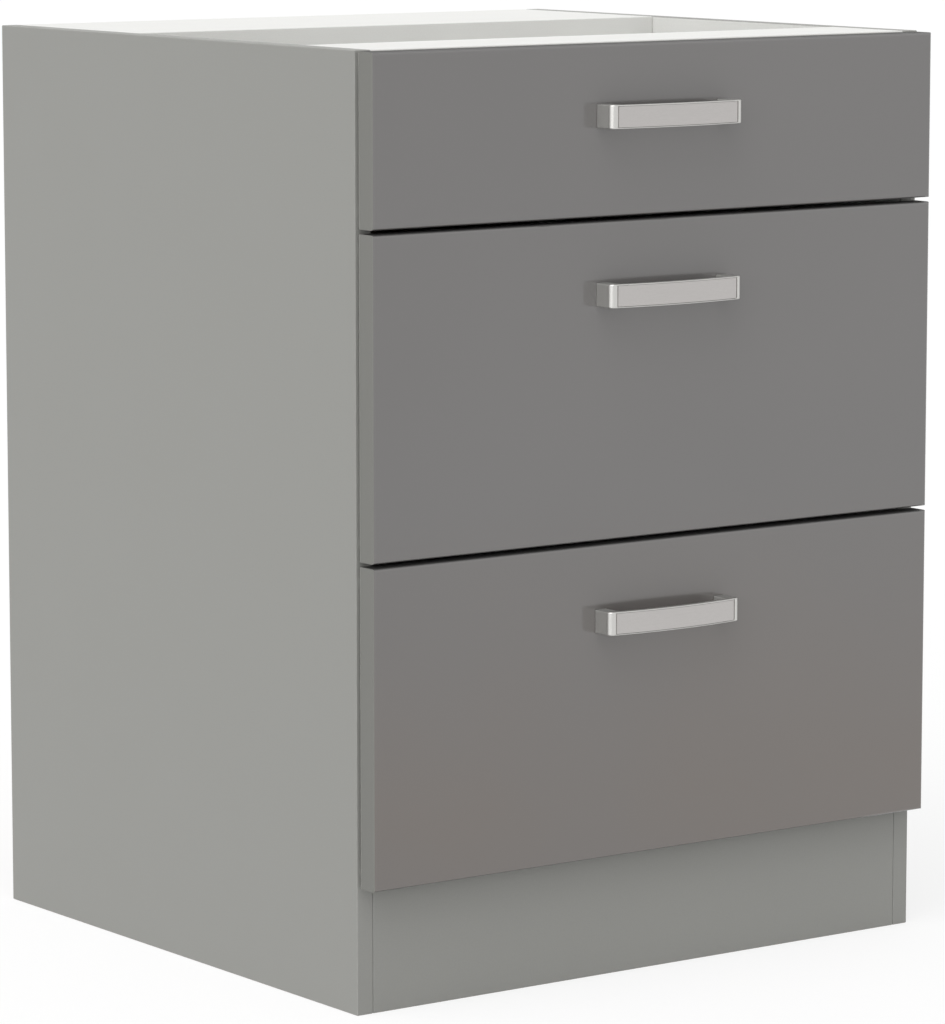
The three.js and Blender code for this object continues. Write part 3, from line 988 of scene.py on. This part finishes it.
def shape_bow(low, high):
    """The strap with its two legs, rounded, and with a pocket for the inlay."""
    bm = bmesh.new()
    half = high.x
    inner = half - LEG_WIDTH
    bowed_bar(bm, [-half] + even_steps(-inner, inner, STRAP_STEPS) + [half],
              low, half, 0.0, STRAP_THICKNESS, low.z, high.z)
    roots = [face for face in bm.faces
             if face.normal.y > FLAT and abs(face.calc_center_median().x) > inner]
    for face in roots:
        foot = pull_out(bm, face, Vector((0.0, STRAP_THICKNESS, 0.0)))
        for vert in foot.verts:
            vert.co.y = high.y
    corners = upright_edges(
        bm, lambda p: abs(p.x) > half - MERGE and p.y < low.y + BOW_DEPTH + MERGE)
    round_edges(bm, corners, CORNER_ROUND, CORNER_CUTS)
    strap_back = bow_at(inner, low, half) + STRAP_THICKNESS
    bends = upright_edges(
        bm, lambda p: abs(abs(p.x) - inner) < MERGE and abs(p.y - strap_back) < MERGE)
    round_edges(bm, bends, BEND_ROUND, BEND_CUTS)
    bm.normal_update()
    rims = [edge for edge in bm.edges
            if sum(abs(face.normal.z) > FLAT for face in edge.link_faces) == 1
            and min(vert.co.y for vert in edge.verts) < high.y - MERGE]
    round_edges(bm, rims, RIM_ROUND, RIM_CUTS)
    pocket_end = half - POCKET_FROM_END
    for side in SIDES.values():
        bmesh.ops.bisect_plane(bm, geom=bm.verts[:] + bm.edges[:] + bm.faces[:], dist=MERGE,
                               plane_co=(side * pocket_end, 0.0, 0.0), plane_no=(1.0, 0.0, 0.0))
    bm.normal_update()
    front = [face for face in bm.faces
             if face.normal.y < -FLAT and abs(face.normal.z) < 1.0 - FLAT
             and abs(face.calc_center_median().x) < pocket_end]
    bmesh.ops.inset_region(bm, faces=front, thickness=POCKET_RIM, depth=-POCKET_DEPTH,
                           use_boundary=True, use_even_offset=True)
    return bm


def shape_inlay(low, high):
    """The brushed plate that lies in the pocket."""
    bm = bmesh.new()
    half = high.x
    end = half - POCKET_FROM_END - POCKET_RIM - INLAY_END_GAP
    edge = RIM_ROUND + POCKET_RIM + INLAY_SIDE_GAP
    bowed_bar(bm, even_steps(-end, end, STRAP_STEPS), low, half, POCKET_DEPTH - INLAY_THICKNESS,
              INLAY_THICKNESS, low.z + edge, high.z - edge)
    return bm


for drawer in DRAWERS:
    low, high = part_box(f"{drawer}_handle")
    bow = finish_piece(f"{drawer}_handle_bow", shape_bow(low, high), BOW_METAL,
                       f"{drawer}_drawer")
    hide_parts(f"{drawer}_handle")
    finish_piece(f"{drawer}_handle_inlay", shape_inlay(low, high), INLAY_METAL,
                 f"{drawer}_drawer")
    print(f"{bow.name}: {len(bow.data.polygons)} faces")

# %% [markdown]
# ## Ball cages
#
# A full-extension runner has three channels, and between each pair two rows of balls roll, held
# at their spacing by a thin sheet cage. The cage is a C in section, open towards the next
# channel. Its outline is drawn once across the runner and pulled out along it, and the two bends
# are rounded. The outer cage sits in the rear half of the link and the inner cage in the front
# half, because that is where the pairs of channels still overlap when the drawer is fully out.

# %% Cage sizes
INNER_FACE = -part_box("left_side_panel")[1].x
CAGE_SHEET = 0.0006
CAGE_BEND = 0.0006
CAGE_CUTS = 3
CAGE_LENGTH = 0.200
CAGE_END_GAP = 0.008
CHANNEL_WALL = 0.0012
BALL_RADIUS = 0.00115
BALL_STEP = 0.0145
BALL_SEGMENTS = 8
BALL_RINGS = 6


def from_wall(side, distance):
    """The x at a distance from the inner face of a side panel."""
    return SIDES[side] * (INNER_FACE - distance)


def reach_of(side, node):
    """The least and the greatest distance of a part from the side panel."""
    low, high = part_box(node)
    return sorted(INNER_FACE - SIDES[side] * x for x in (low.x, high.x))


def shape_cage(side, web, mouth, half_height, centre_z, y_from, y_to):
    """A C of thin sheet, from its web at one distance from the panel to its mouth."""
    back, edge = web + CAGE_SHEET, half_height - CAGE_SHEET
    section = [(mouth, -half_height), (web, -half_height), (web, half_height),
               (mouth, half_height), (mouth, edge), (back, edge), (back, -edge), (mouth, -edge)]
    bm = bmesh.new()
    outline_prism(bm, [(from_wall(side, u), y_from, centre_z + z) for u, z in section],
                  Vector((0.0, y_to - y_from, 0.0)))
    bends = [edge for edge in bm.edges
             if abs(edge.verts[0].co.y - edge.verts[1].co.y) > CAGE_LENGTH / 2
             and abs(edge.verts[0].co.x - from_wall(side, web)) < MERGE]
    round_edges(bm, bends, CAGE_BEND, CAGE_CUTS)
    return bm


def shape_balls(side, distance, rows, centre_z, y_from, y_to):
    """Two rows of balls."""
    bm = bmesh.new()
    count = int((y_to - y_from) / BALL_STEP)
    start = (y_from + y_to - (count - 1) * BALL_STEP) / 2
    for row in (-rows, rows):
        for index in range(count):
            spot = Vector((from_wall(side, distance), start + index * BALL_STEP, centre_z + row))
            bmesh.ops.create_uvsphere(bm, u_segments=BALL_SEGMENTS, v_segments=BALL_RINGS,
                                      radius=BALL_RADIUS, matrix=Matrix.Translation(spot))
    return bm


print(f"balls {BALL_RADIUS * 2000:.1f} mm in cages {CAGE_LENGTH * 1000:.0f} mm long")

# %% Cages and balls
def add_cage(drawer, side, which):
    """One cage with its balls, between the link channel and the one outside or inside it."""
    link = f"{drawer}_{side}_link_channel"
    other = f"{drawer}_{side}_{'cabinet' if which == 'outer' else 'drawer'}_channel"
    link_low, link_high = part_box(link)
    low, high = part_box(other)
    centre_z = (link_low.z + link_high.z) / 2
    link_web = reach_of(side, link)[0]
    if which == "outer":
        gap_from, gap_to = reach_of(side, other)[0] + CHANNEL_WALL, link_web
        rows = ((high.z - low.z) / 2 - CHANNEL_WALL + (link_high.z - link_low.z) / 2) / 2
        mouth = reach_of(side, other)[1]
        y_to = link_high.y - CAGE_END_GAP
        y_from = y_to - CAGE_LENGTH
    else:
        gap_from, gap_to = link_web + CHANNEL_WALL, reach_of(side, other)[0]
        rows = ((high.z - low.z) / 2 + (link_high.z - link_low.z) / 2 - CHANNEL_WALL) / 2
        mouth = reach_of(side, link)[1]
        y_from = link_low.y + CAGE_END_GAP
        y_to = y_from + CAGE_LENGTH
    web = (gap_from + gap_to - CAGE_SHEET) / 2
    mouth -= CAGE_SHEET
    name = f"{drawer}_{side}_{which}"
    body = f"{drawer}_{side}_link"
    finish_piece(f"{name}_cage", shape_cage(side, web, mouth, rows + CAGE_SHEET / 2, centre_z,
                                            y_from, y_to), CAGE_STEEL, body)
    balls = shape_balls(side, mouth - 2 * BALL_RADIUS, rows, centre_z, y_from, y_to)
    return finish_piece(f"{name}_balls", balls, BALL_STEEL, body)


for drawer, side in RUNNERS:
    for which in ("outer", "inner"):
        balls = add_cage(drawer, side, which)
print(f"12 cages, {len(balls.data.polygons)} faces in each set of balls")

# %% [markdown]
# ## Screws
#
# The channels are screwed on through three holes each. A turned part like a screw is quickest as
# half an outline that is spun round its axis. Twelve steps are enough for a head this small, and
# they allow a trick: the ring of twelve points round the middle becomes a cross recess when
# every third point is pulled in. The ring's edges are then pushed down and closed.

# %% Screw shape
SPIN_STEPS = 12
RECESS_START = math.radians(15)
RECESS_IN = 0.42
RECESS_TAPER = 0.75
RECESS_DEPTH = 0.6
HEAD_PROFILE = ((0.5, 1.0), (0.8, 0.88), (0.97, 0.5), (1.0, 0.0))
POINT_FROM = 0.8


def add_screw(bm, place, towards, head, height, shank=None, length=0.0):
    """A round head with a cross recess, and a shank below it, at place and facing towards."""
    before = set(bm.verts)
    outline = [(head * across, height * up) for across, up in HEAD_PROFILE]
    if shank:
        outline += [(shank, 0.0), (shank, -length * POINT_FROM)]
    outline.append((0.0, -length))
    points = [bm.verts.new((radius, 0.0, z)) for radius, z in outline]
    bmesh.ops.rotate(bm, verts=points, cent=(0, 0, 0),
                     matrix=Matrix.Rotation(RECESS_START, 3, "Z"))
    spin_outline(bm, points, (0, 0, 0), (0, 0, 1), SPIN_STEPS)
    bmesh.ops.remove_doubles(bm, verts=[v for v in bm.verts if v not in before], dist=MERGE)
    ring = [v for v in bm.verts if v not in before and abs(v.co.z - height) < MERGE]
    for vert in ring:
        if abs(abs(vert.co.x) - abs(vert.co.y)) < MERGE:
            vert.co.xy *= RECESS_IN
    rim = [edge for edge in bm.edges
           if edge.is_boundary and edge.verts[0] in ring and edge.verts[1] in ring]
    sunk = bmesh.ops.extrude_edge_only(bm, edges=rim)["geom"]
    floor_verts = [v for v in sunk if isinstance(v, bmesh.types.BMVert)]
    bmesh.ops.translate(bm, vec=(0.0, 0.0, -height * RECESS_DEPTH), verts=floor_verts)
    bmesh.ops.scale(bm, vec=(RECESS_TAPER, RECESS_TAPER, 1.0), verts=floor_verts)
    bmesh.ops.contextual_create(bm, geom=[e for e in sunk if isinstance(e, bmesh.types.BMEdge)
                                          and e.is_boundary])
    turn = Vector((0, 0, 1)).rotation_difference(towards).to_matrix().to_4x4()
    bmesh.ops.transform(bm, matrix=Matrix.Translation(place) @ turn,
                        verts=[v for v in bm.verts if v not in before])


print("screw shape ready")

# %% Runner screws
RUNNER_SCREW_HEAD = 0.0040
RUNNER_SCREW_SHANK = 0.0022
RUNNER_SCREW_LENGTH = 0.0014
RUNNER_HOLE_INSET = 0.035
CABINET_HEAD_HEIGHT = 0.0004
DRAWER_HEAD_HEIGHT = 0.0022


def shape_runner_screws(drawer, side, member):
    """The three screws of a channel, with their heads on its web."""
    low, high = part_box(f"{drawer}_{side}_{member}_channel")
    near, far = reach_of(side, f"{drawer}_{side}_{member}_channel")
    if member == "cabinet":
        facing, seat, height = -SIDES[side], near + CHANNEL_WALL, CABINET_HEAD_HEIGHT
    else:
        facing, seat, height = SIDES[side], far - CHANNEL_WALL, DRAWER_HEAD_HEIGHT
    bm = bmesh.new()
    for y in (low.y + RUNNER_HOLE_INSET, (low.y + high.y) / 2, high.y - RUNNER_HOLE_INSET):
        add_screw(bm, Vector((from_wall(side, seat), y, (low.z + high.z) / 2)),
                  Vector((facing, 0.0, 0.0)), RUNNER_SCREW_HEAD, height,
                  RUNNER_SCREW_SHANK, RUNNER_SCREW_LENGTH)
    return bm


for drawer, side in RUNNERS:
    for member, body in (("cabinet", "carcass"), ("drawer", f"{drawer}_drawer")):
        screws = finish_piece(f"{drawer}_{side}_{member}_screws",
                              shape_runner_screws(drawer, side, member), SCREW_STEEL,
                              body)
print(f"36 runner screws, {len(screws.data.polygons)} faces in each set of three")

# %% [markdown]
# ## Stops and levers
#
# A rubber stop at the back of each cabinet channel takes the shock when the drawer is pushed in.
# It is a short block with a waist, so that it gives. In the drawer's own channel sits a black
# release lever, which frees the drawer from its link. Both are outlines that are pulled out and
# rounded, since their real shapes are the same all the way through.

# %% Rear stops
STOP_GAP = 0.0003
STOP_ROUND = 0.0003
STOP_HALF_HEIGHT = 0.012
STOP_WAIST = 0.0012
STOP_FROM_WALL = 0.0020
STOP_TO_WALL = 0.0050


def shape_stop(drawer, side):
    """A waisted rubber block between the link's end and the end of the cabinet channel."""
    link_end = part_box(f"{drawer}_{side}_link_channel")[1].y + STOP_GAP
    low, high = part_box(f"{drawer}_{side}_cabinet_channel")
    centre_z = (low.z + high.z) / 2
    half = STOP_HALF_HEIGHT
    outline = [(link_end, -half), (link_end + STOP_WAIST, 0.0), (link_end, half), (high.y, half),
               (high.y, -half)]
    corners = [(from_wall(side, STOP_FROM_WALL), y, centre_z + z) for y, z in outline]
    step = Vector((-SIDES[side] * (STOP_TO_WALL - STOP_FROM_WALL), 0.0, 0.0))
    return rounded_prism(corners, step, STOP_ROUND)


for drawer, side in RUNNERS:
    finish_piece(f"{drawer}_{side}_stop", shape_stop(drawer, side), BLACK_PLASTIC, "carcass")
print("6 rear stops")

# %% Release levers
LEVER_FROM_FRONT = 0.062
LEVER_LENGTH = 0.046
LEVER_WIDTH = 0.009
LEVER_THICKNESS = 0.0026
LEVER_BASE_GAP = 0.0002
LEVER_ROUND = 0.0006
LEVER_PROFILE = ((0.0, 1.0), (0.3, 1.0), (0.45, 0.5), (0.85, 0.5), (1.0, 0.25))


def shape_lever(drawer, side):
    """A flat lever with a broad finger end, lying on the web of the drawer's channel."""
    low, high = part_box(f"{drawer}_{side}_drawer_channel")
    base = reach_of(side, f"{drawer}_{side}_drawer_channel")[1] - CHANNEL_WALL - LEVER_BASE_GAP
    y, z = low.y + LEVER_FROM_FRONT, (low.z + high.z) / 2
    half = LEVER_WIDTH / 2
    outline = [(share, -up) for share, up in LEVER_PROFILE] + list(reversed(LEVER_PROFILE))
    corners = [(from_wall(side, base), y + share * LEVER_LENGTH, z + up * half)
               for share, up in outline]
    return rounded_prism(corners, Vector((SIDES[side] * LEVER_THICKNESS, 0.0, 0.0)), LEVER_ROUND)


for drawer, side in RUNNERS:
    finish_piece(f"{drawer}_{side}_lever", shape_lever(drawer, side), BLACK_PLASTIC,
                 f"{drawer}_drawer")
print("6 release levers")

# %% [markdown]
# ## Buffers
#
# Clear rubber buttons on the back of each front, one in each corner, keep it three millimetres
# off the carcass and quiet when it closes. A button is a quarter outline spun round its axis: a
# flat foot, a rounded shoulder and a slightly domed top.

# %% Buffers
BUFFER_RADIUS = 0.0042
BUFFER_FROM_END = 0.014
BUFFER_CLEARANCE = 0.0002
BUFFER_TURNS = 20
BUFFER_PROFILE = ((0.0, 0.0), (1.0, 0.0), (0.96, 0.55), (0.82, 0.82), (0.55, 0.95), (0.0, 1.0))
EDGE_MIDDLE = (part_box("right_side_panel")[0].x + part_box("right_side_panel")[1].x) / 2


def shape_buffers(drawer):
    """Four buttons on the back of a front, over the edges of the side panels."""
    low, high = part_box(f"{drawer}_drawer_front")
    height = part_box("left_side_panel")[0].y - high.y - BUFFER_CLEARANCE
    bm = bmesh.new()
    for x in (-EDGE_MIDDLE, EDGE_MIDDLE):
        for z in (low.z + BUFFER_FROM_END, high.z - BUFFER_FROM_END):
            points = [bm.verts.new((x + r * BUFFER_RADIUS, high.y + up * height, z))
                      for r, up in BUFFER_PROFILE]
            spin_outline(bm, points, (x, high.y, z), (0, 1, 0), BUFFER_TURNS)
    return bm


for drawer in DRAWERS:
    finish_piece(f"{drawer}_buffers", shape_buffers(drawer), PALE_RUBBER, f"{drawer}_drawer")
print("12 buffers")

# %% [markdown]
# ## Box fittings
#
# The front is drawn onto the box by cams in the box sides, and the sides are screwed to the
# back. From inside one sees the cams as round zinc discs with a cross slot, and from outside the
# flat screw heads at the rear corners. The screw function makes both, with other sizes.

# %% Cam discs and corner screws
CAM_RADIUS = 0.0075
CAM_RISE = 0.0006
CAM_FROM_FRONT = 0.034
FITTING_HEIGHT_SHARES = (0.25, 0.75)
CORNER_HEAD = 0.0045
CORNER_RISE = 0.0002


def shape_box_fittings(drawer, inside):
    """The four cams inside a box, or the four screw heads at its rear corners."""
    bm = bmesh.new()
    back_low, back_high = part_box(f"{drawer}_box_back")
    for side, sign in SIDES.items():
        low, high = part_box(f"{drawer}_box_{side}_side")
        inner, outer = sorted((low.x, high.x), key=abs)
        for share in FITTING_HEIGHT_SHARES:
            z = low.z + share * (high.z - low.z)
            if inside:
                add_screw(bm, Vector((inner, low.y + CAM_FROM_FRONT, z)), Vector((-sign, 0, 0)),
                          CAM_RADIUS, CAM_RISE)
            else:
                add_screw(bm, Vector((outer, (back_low.y + back_high.y) / 2, z)),
                          Vector((sign, 0, 0)), CORNER_HEAD, CORNER_RISE)
    return bm


for drawer in DRAWERS:
    finish_piece(f"{drawer}_front_cams", shape_box_fittings(drawer, True), CAST_ZINC,
                 f"{drawer}_drawer")
    finish_piece(f"{drawer}_corner_screws", shape_box_fittings(drawer, False), SCREW_STEEL,
                 f"{drawer}_drawer")
print("12 cam discs and 12 corner screws")

# %% [markdown]
# ## Plinth blocks
#
# The plinth board is held to the sides by white plastic corner blocks, one behind each end. A
# block is an L in plan with its inner corner filled, pulled up to its height and rounded, with a
# screw into each of the two boards.

# %% Plinth blocks
BLOCK_LEG = 0.030
BLOCK_WALL = 0.004
BLOCK_HEIGHT = 0.044
BLOCK_FOOT = 0.030
BLOCK_ROUND = 0.0006
BLOCK_SCREW_PLACE = 0.7
BLOCK_SCREW_HEAD = 0.0035
BLOCK_SCREW_RISE = 0.0014


def block_corner(side):
    """The corner between plinth and side panel where a block starts, at its foot."""
    low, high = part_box("plinth_board")
    return Vector((SIDES[side] * INNER_FACE, high.y, low.z + BLOCK_FOOT))


def shape_block(side):
    """A corner block behind one end of the plinth board."""
    leg, wall = BLOCK_LEG, BLOCK_WALL
    outline = [(0.0, 0.0), (leg, 0.0), (leg, wall), (2 * wall, wall), (wall, 2 * wall),
               (wall, leg), (0.0, leg)]
    corners = [block_corner(side) + Vector((-SIDES[side] * across, back, 0.0))
               for across, back in outline]
    return rounded_prism(corners, Vector((0.0, 0.0, BLOCK_HEIGHT)), BLOCK_ROUND)


def shape_block_screws(side):
    """A screw head on each leg of a block."""
    along = BLOCK_SCREW_PLACE * BLOCK_LEG
    bm = bmesh.new()
    for across, back, towards in ((along, BLOCK_WALL, Vector((0, 1, 0))),
                                  (BLOCK_WALL, along, Vector((-SIDES[side], 0, 0)))):
        place = block_corner(side) + Vector((-SIDES[side] * across, back, BLOCK_HEIGHT / 2))
        add_screw(bm, place, towards, BLOCK_SCREW_HEAD, BLOCK_SCREW_RISE)
    return bm


for side in SIDES:
    finish_piece(f"{side}_plinth_block", shape_block(side), WHITE_PLASTIC, "carcass")
    finish_piece(f"{side}_plinth_screws", shape_block_screws(side), SCREW_STEEL, "carcass")
print("2 plinth blocks with 4 screws")
